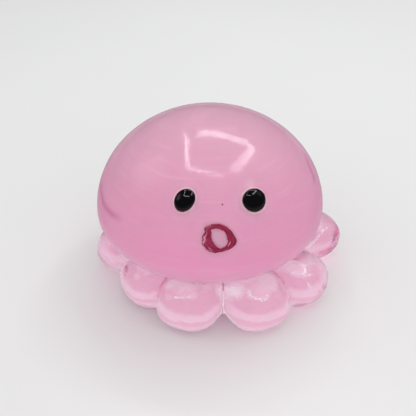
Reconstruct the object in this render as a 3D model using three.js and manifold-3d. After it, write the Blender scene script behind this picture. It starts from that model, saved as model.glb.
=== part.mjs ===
// Octopus squishy toy: a soft filled head on a ring of eight jelly legs, with a painted face.
// Millimetres, +Z up, front towards -Y, origin at the middle of the footprint on the table.
import * as THREE from 'three';
import { mergeVertices } from 'three/addons/utils/BufferGeometryUtils.js';
import Module from 'manifold-3d';

const wasm = await Module();
wasm.setup();

// Gap between neighbouring pieces
const CLEARANCE = 0.3;

// Head: two half ellipsoids that meet at its widest ring, sunk between the tops of the legs
const HEAD_WIDTH = 80;
const HEAD_CROWN = 34;
const HEAD_BELLY = 19.5;
const HEAD_SINK = 5;
const HEAD_SHIFT = -4.5;
const SKIN_WALL = 2.4;

// Face: places are measured round the head's axis and up from its widest ring
const FACE_TURN = 5;
const EYE_SPREAD = 19;
const EYE_RISE = 19.8;
const EYE_WIDTH = 7.3;
const EYE_TALL = 7;
const EYE_DOME = 1.9;
const MOUTH_RISE = 10.5;
const MOUTH_RELIEF = 0.6;
const MOUTH_OUTLINE = [
  [-0.9, 4.7], [-4.7, 3.4], [-5.4, -0.4], [-3.5, -3.9], [-0.6, -4.5], [3.6, -3.3], [5.2, -1.2], [2.8, 3.3],
];
const MOUTH_HOLE_WIDTH = 5;
const MOUTH_HOLE_TALL = 6.4;
const MOUTH_HOLE_TILT = 20;

// Base pad that cups the head's underside, with the filling hole's plug
const BASE_RADIUS = 21;
const BASE_LIP = 2.5;
const PLUG_SHANK_RADIUS = 4.2;
const PLUG_FLANGE_RADIUS = 7;
const PLUG_FLANGE_THICKNESS = 1.6;
const PLUG_RECESS = 0.5;

// Legs, front to back on each side: angle from the front, and the tip's distance from the ring's axis
const LEGS = {
  leg_left_1: { angle: -23, reach: 40.5 },
  leg_left_2: { angle: -60, reach: 40 },
  leg_left_3: { angle: -98, reach: 47.5 },
  leg_left_4: { angle: -147, reach: 43 },
  leg_right_1: { angle: 23, reach: 40.5 },
  leg_right_2: { angle: 62, reach: 41 },
  leg_right_3: { angle: 111, reach: 48.5 },
  leg_right_4: { angle: 160, reach: 43 },
};
const LEG_WIDTH = 23;
const LEG_HEIGHT = 19;
const LEG_ROOT_DEPTH = 9.8;
const LEG_FOOT_CUT = 0.5;
// How full a leg is in plan and over its upper half: 2 is an ellipse, and more is squarer
const LEG_PLAN = 2.6;
const LEG_SHOULDER = 2.5;

// Heights that follow from the legs and the head
const LEG_TOP = LEG_HEIGHT - LEG_FOOT_CUT;
const HEAD_BOTTOM = LEG_TOP - HEAD_SINK;
const HEAD_RING_HEIGHT = HEAD_BOTTOM + HEAD_BELLY;
const BASE_TOP = HEAD_BOTTOM + BASE_LIP;

// Facets
const ROUND_STEPS = 36;
const PROFILE_STEPS = 9;
const LEG_STEPS = 18;
const SMALL_STEPS = 20;

const rubberPink = new THREE.MeshStandardMaterial({ color: 0xde96b8, roughness: 0.28 });
const gelPink = new THREE.MeshStandardMaterial({ color: 0xdb8fb2, roughness: 0.4 });
const jellyPink = new THREE.MeshStandardMaterial({
  color: 0xe8b2ca, roughness: 0.15, transparent: true, opacity: 0.75,
});
const plugPink = new THREE.MeshStandardMaterial({ color: 0xe3a5c0, roughness: 0.35 });
const eyeBlack = new THREE.MeshStandardMaterial({ color: 0x0a0a0c, roughness: 0.08 });
const mouthRed = new THREE.MeshStandardMaterial({ color: 0x91264a, roughness: 0.45 });

// Closed three.js geometry to a solid that can be cut: shared vertices are merged and
// the flat triangles at a lathe's poles are dropped.
function solid(geometry) {
  geometry.deleteAttribute('normal');
  geometry.deleteAttribute('uv');
  const merged = mergeVertices(geometry, 1e-4);
  const index = merged.index.array;
  const triangles = [];
  for (let i = 0; i < index.length; i += 3) {
    const [a, b, c] = [index[i], index[i + 1], index[i + 2]];
    if (a !== b && b !== c && c !== a) triangles.push(a, b, c);
  }
  return new wasm.Manifold(new wasm.Mesh({
    numProp: 3,
    vertProperties: new Float32Array(merged.attributes.position.array),
    triVerts: new Uint32Array(triangles),
  }));
}

function meshOf(name, body, material) {
  const data = body.getMesh();
  const geometry = new THREE.BufferGeometry();
  geometry.setAttribute('position', new THREE.BufferAttribute(data.vertProperties, 3));
  geometry.setIndex(new THREE.BufferAttribute(data.triVerts, 1));
  geometry.computeVertexNormals();
  const mesh = new THREE.Mesh(geometry, material);
  mesh.name = name;
  return mesh;
}

// A turned shape about the head's axis, from (radius, height) points that run upwards.
function turned(points, steps) {
  const profile = points.map(([radius, height]) => new THREE.Vector2(radius, height));
  const geometry = new THREE.LatheGeometry(profile, steps);
  geometry.rotateX(Math.PI / 2);
  geometry.translate(HEAD_SHIFT, 0, 0);
  return solid(geometry);
}

// Head's outer surface grown by an offset, or shrunk by a negative one.
function headBody(offset) {
  const radius = HEAD_WIDTH / 2 + offset;
  const points = [];
  for (let i = 0; i <= 2 * PROFILE_STEPS; i += 1) {
    const turn = (i / PROFILE_STEPS - 1) * Math.PI / 2;
    const rise = (turn > 0 ? HEAD_CROWN : HEAD_BELLY) + offset;
    const onPole = i === 0 || i === 2 * PROFILE_STEPS;
    points.push([onPole ? 0 : radius * Math.cos(turn), HEAD_RING_HEIGHT + rise * Math.sin(turn)]);
  }
  return turned(points, ROUND_STEPS);
}

function post(radius, bottom, top) {
  return turned([[0, bottom], [radius, bottom], [radius, top], [0, top]], SMALL_STEPS);
}

// Frame on the head's surface: local Z is the outward normal, local X runs round to the right.
function onHead(angle, rise) {
  const reach = rise > 0 ? HEAD_CROWN : HEAD_BELLY;
  const radius = HEAD_WIDTH / 2 * Math.sqrt(1 - (rise / reach) ** 2);
  const turn = THREE.MathUtils.degToRad(angle);
  const place = new THREE.Vector3(radius * Math.sin(turn), -radius * Math.cos(turn), rise);
  const normal = new THREE.Vector3(place.x, place.y, 0).divideScalar((HEAD_WIDTH / 2) ** 2);
  normal.z = rise / reach ** 2;
  normal.normalize();
  const across = new THREE.Vector3(Math.cos(turn), Math.sin(turn), 0);
  const frame = new THREE.Matrix4().makeBasis(across, normal.clone().cross(across), normal);
  frame.setPosition(place.x + HEAD_SHIFT, place.y, HEAD_RING_HEIGHT + rise);
  return frame;
}

function headSkin() {
  const hole = post(PLUG_SHANK_RADIUS + CLEARANCE, 0, HEAD_RING_HEIGHT);
  return headBody(0).subtract(headBody(-SKIN_WALL)).subtract(hole);
}

function gelFill() {
  return headBody(-SKIN_WALL - CLEARANCE);
}

const headEnvelope = headBody(CLEARANCE);
const plugCeiling = PLUG_RECESS + PLUG_FLANGE_THICKNESS + CLEARANCE;

function baseWeb() {
  const pad = new THREE.CylinderGeometry(BASE_RADIUS, BASE_RADIUS, BASE_TOP, ROUND_STEPS);
  pad.rotateX(Math.PI / 2);
  pad.translate(0, 0, BASE_TOP / 2);
  const bore = post(PLUG_SHANK_RADIUS + CLEARANCE, -1, BASE_TOP);
  const recess = post(PLUG_FLANGE_RADIUS + CLEARANCE, -1, plugCeiling);
  return solid(pad).subtract(headEnvelope).subtract(bore).subtract(recess);
}

function fillerPlug() {
  const flangeTop = PLUG_RECESS + PLUG_FLANGE_THICKNESS;
  const shankTop = HEAD_BOTTOM + SKIN_WALL - CLEARANCE;
  return turned([
    [0, PLUG_RECESS], [PLUG_FLANGE_RADIUS, PLUG_RECESS], [PLUG_FLANGE_RADIUS, flangeTop],
    [PLUG_SHANK_RADIUS, flangeTop], [PLUG_SHANK_RADIUS, shankTop], [0, shankTop],
  ], SMALL_STEPS);
}

function eye(side) {
  const drop = new THREE.SphereGeometry(1, SMALL_STEPS, SMALL_STEPS / 2);
  drop.scale(EYE_WIDTH / 2, EYE_TALL / 2, EYE_DOME);
  drop.applyMatrix4(onHead(FACE_TURN + side * EYE_SPREAD, EYE_RISE));
  return solid(drop).subtract(headEnvelope);
}

function mouthRing() {
  const outline = MOUTH_OUTLINE.map(([x, y]) => new THREE.Vector3(x, y, 0));
  const curve = new THREE.CatmullRomCurve3(outline, true);
  const edge = curve.getPoints(SMALL_STEPS).slice(0, -1);
  const shape = new THREE.Shape(edge.map(({ x, y }) => new THREE.Vector2(x, y)));
  const [halfWidth, halfTall] = [MOUTH_HOLE_WIDTH / 2, MOUTH_HOLE_TALL / 2];
  const tilt = THREE.MathUtils.degToRad(MOUTH_HOLE_TILT);
  const rim = new THREE.EllipseCurve(0, 0, halfWidth, halfTall, 0, 2 * Math.PI, true, tilt);
  shape.holes.push(new THREE.Path(rim.getPoints(SMALL_STEPS).slice(0, -1)));
  const depth = HEAD_WIDTH / 4;
  const stamp = new THREE.ExtrudeGeometry(shape, { depth, bevelEnabled: false });
  stamp.translate(0, 0, -depth / 2);
  stamp.applyMatrix4(onHead(FACE_TURN, MOUTH_RISE));
  return solid(stamp).intersect(headBody(CLEARANCE + MOUTH_RELIEF)).subtract(headEnvelope);
}

// Leg angles in order round the ring
const legAngles = Object.values(LEGS).map(({ angle }) => angle).sort((a, b) => a - b);

function halfwayTo(angle, step) {
  const count = legAngles.length;
  const at = legAngles.indexOf(angle);
  const next = legAngles[(at + step + count) % count];
  const gap = ((next - angle) * step + 360) % 360;
  return angle + step * gap / 2;
}

// Block that fills one side of an upright plane through the ring's axis, at the given angle.
function sideBlock(angle, step) {
  const size = 2 * HEAD_WIDTH;
  const block = new THREE.BoxGeometry(size, size, size);
  block.translate(step * (size - CLEARANCE) / 2, 0, 0);
  block.rotateZ(THREE.MathUtils.degToRad(angle));
  return solid(block);
}

// A ball of radius 1, filled out to the legs' fullness.
function fullBall() {
  const ball = new THREE.SphereGeometry(1, LEG_STEPS, LEG_STEPS / 2 + 1);
  ball.rotateX(Math.PI / 2);
  const spots = ball.attributes.position;
  const spot = new THREE.Vector3();
  for (let i = 0; i < spots.count; i += 1) {
    spot.fromBufferAttribute(spots, i);
    const level = (Math.abs(spot.x) ** LEG_PLAN + Math.abs(spot.y) ** LEG_PLAN) ** (1 / LEG_PLAN);
    const power = spot.z > 0 ? LEG_SHOULDER : 2;
    spot.divideScalar((level ** power + Math.abs(spot.z) ** power) ** (1 / power));
    spots.setXYZ(i, spot.x, spot.y, spot.z);
  }
  return ball;
}

// A leg swells from its root in the base pad to its tip, and is cut flat where it stands.
function leg(angle, reach) {
  const root = BASE_RADIUS - LEG_ROOT_DEPTH;
  const blob = fullBall();
  blob.scale(LEG_WIDTH / 2, (reach - root) / 2, LEG_HEIGHT / 2);
  blob.translate(0, -(reach + root) / 2, LEG_HEIGHT / 2 - LEG_FOOT_CUT);
  blob.rotateZ(THREE.MathUtils.degToRad(angle));
  const coreRadius = BASE_RADIUS + CLEARANCE;
  const core = new THREE.CylinderGeometry(coreRadius, coreRadius, 3 * LEG_HEIGHT, ROUND_STEPS);
  core.rotateX(Math.PI / 2);
  const floor = new THREE.BoxGeometry(2 * HEAD_WIDTH, 2 * HEAD_WIDTH, LEG_HEIGHT);
  floor.translate(0, 0, -LEG_HEIGHT / 2);
  return solid(blob)
    .subtract(headEnvelope)
    .subtract(solid(core))
    .subtract(solid(floor))
    .subtract(sideBlock(halfwayTo(angle, 1), 1))
    .subtract(sideBlock(halfwayTo(angle, -1), -1));
}

const toy = new THREE.Group();
toy.add(meshOf('head_skin', headSkin(), rubberPink));
toy.add(meshOf('gel_fill', gelFill(), gelPink));
toy.add(meshOf('base_web', baseWeb(), jellyPink));
toy.add(meshOf('filler_plug', fillerPlug(), plugPink));
toy.add(meshOf('eye_left', eye(-1), eyeBlack));
toy.add(meshOf('eye_right', eye(1), eyeBlack));
toy.add(meshOf('mouth_ring', mouthRing(), mouthRed));
for (const [name, { angle, reach }] of Object.entries(LEGS)) {
  toy.add(meshOf(name, leg(angle, reach), jellyPink));
}

// The origin is the middle of the footprint
const middle = new THREE.Box3().setFromObject(toy).getCenter(new THREE.Vector3());
toy.position.set(-middle.x, -middle.y, 0);

export default toy;
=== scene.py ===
import bpy
import math
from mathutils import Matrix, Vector


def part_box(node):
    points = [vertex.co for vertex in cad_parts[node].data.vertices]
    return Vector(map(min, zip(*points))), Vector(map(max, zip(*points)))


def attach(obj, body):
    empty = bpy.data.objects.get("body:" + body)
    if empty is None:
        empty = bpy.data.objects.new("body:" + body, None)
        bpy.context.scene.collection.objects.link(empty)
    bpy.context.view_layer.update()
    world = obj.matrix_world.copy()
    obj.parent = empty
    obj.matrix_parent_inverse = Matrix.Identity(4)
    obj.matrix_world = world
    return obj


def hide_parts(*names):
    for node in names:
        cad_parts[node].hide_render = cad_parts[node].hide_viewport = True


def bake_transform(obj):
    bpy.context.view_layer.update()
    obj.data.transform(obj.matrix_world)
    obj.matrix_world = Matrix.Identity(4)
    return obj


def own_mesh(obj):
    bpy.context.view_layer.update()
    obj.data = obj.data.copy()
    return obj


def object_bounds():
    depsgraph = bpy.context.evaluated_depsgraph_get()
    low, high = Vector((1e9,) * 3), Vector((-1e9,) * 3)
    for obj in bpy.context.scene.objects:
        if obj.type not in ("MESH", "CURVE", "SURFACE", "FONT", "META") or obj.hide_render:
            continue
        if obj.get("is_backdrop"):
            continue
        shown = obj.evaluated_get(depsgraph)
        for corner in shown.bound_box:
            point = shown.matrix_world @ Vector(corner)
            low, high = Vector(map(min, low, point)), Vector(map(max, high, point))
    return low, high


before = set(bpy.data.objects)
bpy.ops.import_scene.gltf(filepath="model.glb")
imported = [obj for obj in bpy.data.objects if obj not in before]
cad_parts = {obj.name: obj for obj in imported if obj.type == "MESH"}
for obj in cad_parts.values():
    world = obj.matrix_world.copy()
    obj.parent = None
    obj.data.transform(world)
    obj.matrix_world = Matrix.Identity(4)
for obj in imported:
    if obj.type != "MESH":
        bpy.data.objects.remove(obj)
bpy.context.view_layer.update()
scene = bpy.context.scene
MM = 0.001


# Base pad
# The clear rubber pad under the middle of the toy. It is cast with the legs' roots round it,
# dished on top for the head, and bored for the plug that closes the filling hole.
GAP = 0.3 * MM
HEAD_BELLY = 19.5 * MM
HEAD_LOW, HEAD_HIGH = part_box("head_skin")
HEAD_RADIUS = (HEAD_HIGH.x - HEAD_LOW.x) / 2
HEAD_RING_HEIGHT = HEAD_LOW.z + HEAD_BELLY
HEAD_CROWN = HEAD_HIGH.z - HEAD_RING_HEIGHT
HEAD_AXIS = (HEAD_LOW + HEAD_HIGH) / 2
PAD_LOW, PAD_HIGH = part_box("base_web")
PAD_RADIUS = (PAD_HIGH.x - PAD_LOW.x) / 2
RING_AXIS = (PAD_LOW + PAD_HIGH) / 2
FOOTPRINT = Vector((RING_AXIS.x, RING_AXIS.y, 0.0))


class Wire:
    """An output of a node tree that sums, scales and compares like a number."""

    def __init__(self, tree, socket):
        self.tree = tree
        self.socket = socket

    def math(self, operation, *others):
        node = self.tree.nodes.new("ShaderNodeMath")
        node.operation = operation
        for slot, value in zip(node.inputs, (self, *others)):
            plug(self.tree, slot, value)
        return Wire(self.tree, node.outputs[0])

    def __add__(self, other):
        return self.math("ADD", other)

    def __sub__(self, other):
        return self.math("SUBTRACT", other)

    def __mul__(self, other):
        return self.math("MULTIPLY", other)

    def __truediv__(self, other):
        return self.math("DIVIDE", other)

    def __neg__(self):
        return self.math("MULTIPLY", -1.0)

    def held(self):
        """The same number, held in the range 0 to 1."""
        return self.math("MAXIMUM", 0.0).math("MINIMUM", 1.0)


def plug(tree, slot, value):
    """Links a wire to an input, or sets the input to a plain value."""
    if isinstance(value, Wire):
        tree.links.new(value.socket, slot)
    else:
        slot.default_value = value


def add(tree, kind, settings=None, **inputs):
    """Adds a node; an input is named in plain words, with _ for a space."""
    node = tree.nodes.new(kind)
    for name, value in (settings or {}).items():
        setattr(node, name, value)
    for name, value in inputs.items():
        plug(tree, node.inputs[name.replace("_", " ")], value)
    return node


def new_material(name):
    """A material with a Principled shader, and the piece's places at rest as a wire."""
    material = bpy.data.materials.new(name)
    material.use_nodes = True
    tree = material.node_tree
    place = add(tree, "ShaderNodeAttribute", {"attribute_name": "rest"})
    return material, tree, tree.nodes["Principled BSDF"], Wire(tree, place.outputs["Vector"])


def keep_rest(mesh):
    """Keeps the places of a mesh's points, so that colours stay on a soft piece as it bends."""
    places = [value for point in mesh.vertices for value in point.co]
    mesh.attributes.new("rest", "FLOAT_VECTOR", "POINT").data.foreach_set("vector", places)


def axes(tree, place):
    """The x, y and z of a place, as wires."""
    split = add(tree, "ShaderNodeSeparateXYZ", Vector=place)
    return [Wire(tree, out) for out in split.outputs]


def noise(tree, place, scale, detail=2.0, stretch=None):
    """Noise from 0 to 1, a few features to each 1 / scale metres, finer along a stretched axis."""
    if stretch:
        mapped = add(tree, "ShaderNodeMapping", Vector=place, Scale=stretch)
        place = Wire(tree, mapped.outputs[0])
    made = add(tree, "ShaderNodeTexNoise", Vector=place, Scale=scale, Detail=detail)
    return Wire(tree, made.outputs[0])


def blend_colours(tree, share, low, high):
    made = add(tree, "ShaderNodeMix", {"data_type": "RGBA"})
    plug(tree, made.inputs[0], share)
    for slot, colour in ((made.inputs[6], low), (made.inputs[7], high)):
        plug(tree, slot, colour if isinstance(colour, Wire) else (*colour, 1.0))
    return Wire(tree, made.outputs[2])


def map_range(tree, value, low, high, to_low, to_high):
    made = add(
        tree, "ShaderNodeMapRange", Value=value,
        From_Min=low, From_Max=high, To_Min=to_low, To_Max=to_high,
    )
    return Wire(tree, made.outputs[0])


def bump(tree, height, strength, distance):
    made = add(tree, "ShaderNodeBump", Height=height, Strength=strength, Distance=distance)
    return Wire(tree, made.outputs[0])


def near(tree, place, centre, inner, outer):
    """1 within the inner distance of a point, falling to 0 at the outer."""
    away = add(tree, "ShaderNodeVectorMath", {"operation": "DISTANCE"})
    plug(tree, away.inputs[0], place)
    plug(tree, away.inputs[1], centre)
    return map_range(tree, Wire(tree, away.outputs["Value"]), inner, outer, 1.0, 0.0)


def near_line(tree, place, start, end, inner, outer):
    """1 within the inner distance of a straight line, falling to 0 at the outer."""
    run = end - start
    offset = add(tree, "ShaderNodeVectorMath", {"operation": "SUBTRACT"})
    plug(tree, offset.inputs[0], place)
    plug(tree, offset.inputs[1], start)
    along = add(tree, "ShaderNodeVectorMath", {"operation": "DOT_PRODUCT"})
    plug(tree, along.inputs[0], Wire(tree, offset.outputs[0]))
    plug(tree, along.inputs[1], run / run.length_squared)
    share = Wire(tree, along.outputs["Value"]).held()
    foot = add(tree, "ShaderNodeVectorMath", {"operation": "MULTIPLY_ADD"})
    plug(tree, foot.inputs[0], share)
    plug(tree, foot.inputs[1], run)
    plug(tree, foot.inputs[2], start)
    return near(tree, place, Wire(tree, foot.outputs[0]), inner, outer)


def near_lines(tree, place, lines, inner, outer):
    """The same for the nearest of some straight lines, each given by its start and end."""
    shares = [near_line(tree, place, start, end, inner, outer) for start, end in lines]
    nearest = shares[0]
    for share in shares[1:]:
        nearest = nearest.math("MAXIMUM", share)
    return nearest


def scatter_light(shader, weight, radius, depth):
    """Lets light scatter under the surface, in each of three colours its share of a depth."""
    shader.inputs["Subsurface Weight"].default_value = weight
    shader.inputs["Subsurface Radius"].default_value = radius
    shader.inputs["Subsurface Scale"].default_value = depth


# Heights between which the rubber is painted pale, in a wavy band: painted refraction at the foot,
# with a painted bright rim below it, and a painted sheen at the crest.
JELLY_WAVE = 5.0 * MM
JELLY_REFRACTION_FOOT = (9.2 * MM, 10.0 * MM)
JELLY_REFRACTION_TOP = (12.0 * MM, 13.5 * MM)
JELLY_REFRACTION_RIM = (7.0 * MM, 8.5 * MM)
JELLY_CREST_SHEEN = (16.6 * MM, 18.0 * MM)
JELLY_CREST_SHEEN_COLOUR = (0.99, 0.88, 0.93)
JELLY_DEPTH_COLOUR = (0.955, 0.23, 0.63, 1.0)
JELLY_SHADOW_COLOUR = (0.99, 0.86, 0.92, 1.0)

# How far from its line each kind of mark is full, and where it ends.
CREASE_WIDTH = (0.15 * MM, 0.65 * MM)
CREASE_JITTER = 0.9 * MM
CREASE_RELIEF = 0.6
FOLD_WIDTH = (1.2 * MM, 3.6 * MM)
CLOUD_WIDTH = (1.0 * MM, 5.0 * MM)
# The white of the painted glints on the creases and of the painted highlight on the folds.
PAINTED_GLINT_COLOUR = (1.0, 0.96, 0.98)
CLOUD_COLOUR = (0.97, 0.64, 0.78)
CLOUD_MILK = 0.55


def jelly_rubber(name, clearness, tint, depth, marks=None):
    """Clear tinted rubber: glassy skin, a pink that deepens with thickness, and painted light: a pale
    wavy band of painted refraction at the foot, a painted bright rim under it and a painted sheen at
    the top.

    Its marks are the lines of fine raised creases, painted white as glints, of pale folds where two
    pieces were pinched as they set, painted white as a highlight, and of cloudy edges.
    """
    material, tree, shader, place = new_material(name)
    cloud = noise(tree, place, 120.0, 3.0)
    height = axes(tree, place)[2]
    wavy = height + (cloud - 0.5) * JELLY_WAVE
    # Painted light: refraction at the foot, a bright rim below it and a sheen at the crest.
    refraction_patch = map_range(tree, wavy, *JELLY_REFRACTION_FOOT, 0.0, 1.0)
    refraction_patch = refraction_patch * map_range(tree, wavy, *JELLY_REFRACTION_TOP, 1.0, 0.0)
    rim = map_range(tree, height, *JELLY_REFRACTION_RIM, 1.0, 0.0)
    crest_sheen = map_range(tree, wavy, *JELLY_CREST_SHEEN, 0.0, 1.0)
    pale = refraction_patch.math("MAXIMUM", rim).math("MAXIMUM", crest_sheen)
    tinted = blend_colours(tree, pale, tint[0], tint[1])
    tinted = blend_colours(tree, crest_sheen * 0.35, tinted, JELLY_CREST_SHEEN_COLOUR)
    clear = -crest_sheen * 0.035 + clearness
    ripples = noise(tree, place, 330.0, 2.0)
    if marks:
        creases, folds, clouds = marks
        jitter = add(tree, "ShaderNodeTexNoise", Vector=place, Scale=900.0, Detail=1.0)
        jagged = add(tree, "ShaderNodeVectorMath", {"operation": "MULTIPLY_ADD"})
        plug(tree, jagged.inputs[0], Wire(tree, jitter.outputs["Color"]))
        plug(tree, jagged.inputs[1], (CREASE_JITTER, CREASE_JITTER, CREASE_JITTER))
        plug(tree, jagged.inputs[2], place)
        white = near_lines(tree, Wire(tree, jagged.outputs[0]), creases, *CREASE_WIDTH)
        ripples = ripples + white * CREASE_RELIEF
        pleats = noise(tree, place, 420.0, 1.0, stretch=(0.35, 0.35, 1.6))
        pleats = map_range(tree, pleats, 0.35, 0.6, 0.6, 1.0)
        white = white.math("MAXIMUM", near_lines(tree, place, folds, *FOLD_WIDTH) * pleats)
        # Painted light: the creases are painted white and clear as glints over their raised relief, and
        # the folds painted white as a highlight.
        tinted = blend_colours(tree, white, tinted, PAINTED_GLINT_COLOUR)
        clear = clear + white * (-clear + 1.0)
        milk = near_lines(tree, place, clouds, *CLOUD_WIDTH)
        tinted = blend_colours(tree, milk, tinted, CLOUD_COLOUR)
        clear = clear - milk * CLOUD_MILK
    inner_side = Wire(tree, tree.nodes.new("ShaderNodeNewGeometry").outputs["Backfacing"])
    plug(tree, shader.inputs["Base Color"], blend_colours(tree, inner_side, tinted, (1.0, 1.0, 1.0)))
    plug(tree, shader.inputs["Transmission Weight"], clear + inner_side * (-clear + 1.0))
    plug(tree, shader.inputs["Coat Weight"], -inner_side + 1.0)
    smear = noise(tree, place, 300.0, 3.0)
    plug(tree, shader.inputs["Roughness"], map_range(tree, smear, 0.3, 0.8, 0.02, 0.06))
    lumps = noise(tree, place, 260.0, 1.0)
    plug(tree, shader.inputs["Normal"], bump(tree, lumps, 0.14, 0.4 * MM))
    plug(tree, shader.inputs["Coat Normal"], bump(tree, ripples, 0.6, 0.5 * MM))
    shader.inputs["IOR"].default_value = 1.48
    shader.inputs["Coat Roughness"].default_value = 0.04
    scatter_light(shader, 1.0, (1.0, 0.5, 0.7), 10 * MM)
    inside = add(tree, "ShaderNodeVolumeAbsorption", Color=JELLY_DEPTH_COLOUR, Density=depth)
    output = tree.nodes["Material Output"]
    tree.links.new(inside.outputs[0], output.inputs["Volume"])
    lamp_side = add(tree, "ShaderNodeBsdfTransparent", Color=JELLY_SHADOW_COLOUR)
    ray = tree.nodes.new("ShaderNodeLightPath")
    lit = tree.nodes.new("ShaderNodeMixShader")
    tree.links.new(ray.outputs["Is Shadow Ray"], lit.inputs[0])
    tree.links.new(shader.outputs[0], lit.inputs[1])
    tree.links.new(lamp_side.outputs[0], lit.inputs[2])
    tree.links.new(lit.outputs[0], output.inputs["Surface"])
    return material


def head_underside(x, y, gap):
    """Height of the head's lower half above a point, lowered by a gap."""
    spread = math.hypot(x - HEAD_AXIS.x, y - HEAD_AXIS.y) / (HEAD_RADIUS + gap)
    return HEAD_RING_HEIGHT - (HEAD_BELLY + gap) * math.sqrt(max(0.0, 1.0 - spread * spread))


def new_piece(name, points, faces, material):
    mesh = bpy.data.meshes.new(name)
    mesh.from_pydata(points, [], faces)
    mesh.materials.append(material)
    mesh.polygons.foreach_set("use_smooth", [True] * len(mesh.polygons))
    mesh.update()
    keep_rest(mesh)
    piece = bpy.data.objects.new(name, mesh)
    scene.collection.objects.link(piece)
    return piece


def ring_faces(rings, steps):
    """Faces of a closed hoop, from sections that each hold the same count of points."""
    return [
        (
            ring * steps + step,
            ring * steps + (step + 1) % steps,
            (ring + 1) % rings * steps + (step + 1) % steps,
            (ring + 1) % rings * steps + step,
        )
        for ring in range(rings)
        for step in range(steps)
    ]


PLUG_LOW, PLUG_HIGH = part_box("filler_plug")
FLANGE_RADIUS = (PLUG_HIGH.x - PLUG_LOW.x) / 2
FLANGE_THICKNESS = 1.6 * MM
SHANK_RADIUS = 4.2 * MM
PAD_SOLE = 0.3 * MM
PAD_ROUNDING = 1.2 * MM
PAD_TURNS = 96

recess_top = PLUG_LOW.z + FLANGE_THICKNESS + GAP
pad_section = [
    ("bore", FLANGE_RADIUS + GAP, PAD_SOLE),
    ("bore", FLANGE_RADIUS + GAP, recess_top),
    ("bore", SHANK_RADIUS + GAP, recess_top),
    ("bore", SHANK_RADIUS + GAP, None),
    *(("top", share, None) for share in (0.15, 0.3, 0.5, 0.7, 0.85, 0.95)),
    *(("rim", PAD_RADIUS, share) for share in (0.95, 0.8, 0.5, 0.2, 0.05)),
    ("rim", PAD_RADIUS - PAD_ROUNDING, 0.0),
]


def pad_point(turn, kind, size, height):
    """One point of the pad's section: bored about the head's axis, round about the legs' ring."""
    ahead = Vector((math.cos(turn), math.sin(turn), 0.0))
    inner = HEAD_AXIS + ahead * (SHANK_RADIUS + GAP)
    outer = RING_AXIS + ahead * PAD_RADIUS
    if kind == "bore":
        spot = HEAD_AXIS + ahead * size
    elif kind == "top":
        spot = inner.lerp(outer, size)
    else:
        spot = RING_AXIS + ahead * size
    top = head_underside(spot.x, spot.y, GAP)
    if kind == "rim":
        return spot.x, spot.y, PAD_SOLE + (top - PAD_SOLE) * height
    return spot.x, spot.y, top if height is None else height


pad_points = [
    pad_point(math.tau * turn / PAD_TURNS, *station)
    for turn in range(PAD_TURNS)
    for station in pad_section
]
pad_faces = ring_faces(PAD_TURNS, len(pad_section))
pad_rubber = jelly_rubber("base pad rubber", 0.85, ((0.98, 0.84, 0.90), (0.99, 0.90, 0.94)), 20.0)
base_pad = new_piece("jelly_base_pad", pad_points, pad_faces, pad_rubber)
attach(base_pad, "base")
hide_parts("base_web")


# Filler plug
# The soft bung that closes the hole the gel is poured in through. It is moulded rubber, pushed
# up into the bore from below, with its flange let into the pad so that the toy stands flat.
PLUG_TURNS = 64
PLUG_EDGE = 0.45 * MM
PLUG_DIMPLE_RADIUS = 2.6 * MM
PLUG_DIMPLE = 0.6 * MM

flange_top = PLUG_LOW.z + FLANGE_THICKNESS
plug_section = [
    (0.0, PLUG_LOW.z + PLUG_DIMPLE),
    (PLUG_DIMPLE_RADIUS * 0.7, PLUG_LOW.z + PLUG_DIMPLE * 0.8),
    (PLUG_DIMPLE_RADIUS, PLUG_LOW.z + PLUG_DIMPLE * 0.25),
    (PLUG_DIMPLE_RADIUS + PLUG_EDGE, PLUG_LOW.z),
    (FLANGE_RADIUS - PLUG_EDGE, PLUG_LOW.z),
    (FLANGE_RADIUS - PLUG_EDGE * 0.3, PLUG_LOW.z + PLUG_EDGE * 0.3),
    (FLANGE_RADIUS, PLUG_LOW.z + PLUG_EDGE),
    (FLANGE_RADIUS, flange_top - PLUG_EDGE),
    (FLANGE_RADIUS - PLUG_EDGE * 0.3, flange_top - PLUG_EDGE * 0.3),
    (FLANGE_RADIUS - PLUG_EDGE, flange_top),
    (SHANK_RADIUS + PLUG_EDGE, flange_top),
    (SHANK_RADIUS, flange_top + PLUG_EDGE),
    (SHANK_RADIUS, PLUG_HIGH.z - 2 * PLUG_EDGE),
    (SHANK_RADIUS - PLUG_EDGE, PLUG_HIGH.z - PLUG_EDGE * 0.4),
    (SHANK_RADIUS - 3 * PLUG_EDGE, PLUG_HIGH.z),
    (0.0, PLUG_HIGH.z),
]


def capped_faces(turns, count):
    """Faces of a turned shape: a section's points for each turn, then its first and last pole."""
    faces = [
        (
            turn * count + step,
            (turn + 1) % turns * count + step,
            (turn + 1) % turns * count + step + 1,
            turn * count + step + 1,
        )
        for turn in range(turns)
        for step in range(count - 1)
    ]
    low = turns * count
    for turn in range(turns):
        ahead = (turn + 1) % turns
        faces.append((low, ahead * count, turn * count))
        faces.append((low + 1, turn * count + count - 1, ahead * count + count - 1))
    return faces


def turned_piece(name, section, axis, turns, material):
    """A closed turned piece, from (radius, height) points that start and end on the axis."""
    walls = section[1:-1]
    points = [
        (
            axis.x + radius * math.cos(math.tau * turn / turns),
            axis.y + radius * math.sin(math.tau * turn / turns),
            height,
        )
        for turn in range(turns)
        for radius, height in walls
    ]
    points.append((axis.x, axis.y, section[0][1]))
    points.append((axis.x, axis.y, section[-1][1]))
    return new_piece(name, points, capped_faces(turns, len(walls)), material)


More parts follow.
